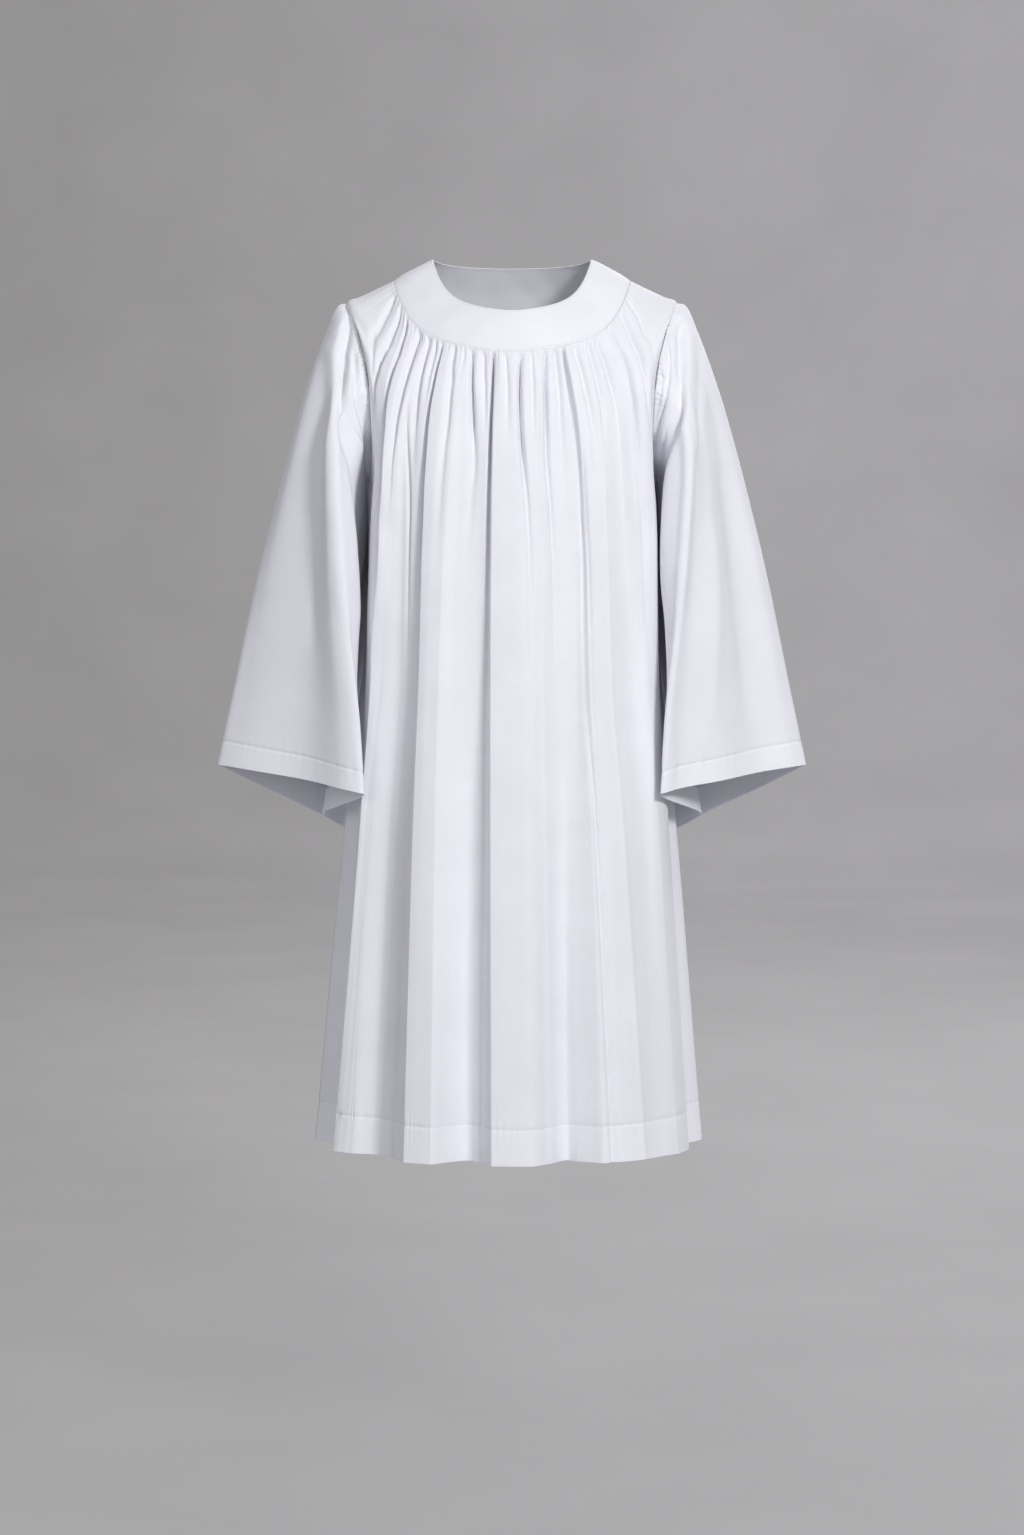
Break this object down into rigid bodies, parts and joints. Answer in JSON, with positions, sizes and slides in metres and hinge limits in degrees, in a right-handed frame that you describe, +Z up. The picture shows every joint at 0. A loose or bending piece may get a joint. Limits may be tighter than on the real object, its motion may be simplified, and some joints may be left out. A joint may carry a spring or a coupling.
{
  "type": "surplice",
  "caption": "Knee-length white surplice with a flat round yoke, a full gathered body and wide bell sleeves, hollow as worn.",
  "frame": {"origin": "midway between the shoulders, level with the sides of the yoke, where the garment rests on its wearer", "axes": "+Z up, +X towards the wearer's left sleeve, the front faces -Y"},
  "size_m": [0.7333, 0.4177, 1.1026],
  "materials": {
    "cloth": "smooth white poly-cotton, matte with a faint sheen"
  },
  "bodies": {
    "root": {"yoke_front": "cloth", "yoke_back": "cloth", "body_front": "cloth", "body_back": "cloth", "sleeve_left": "cloth", "sleeve_right": "cloth"}
  },
  "joints": []
}
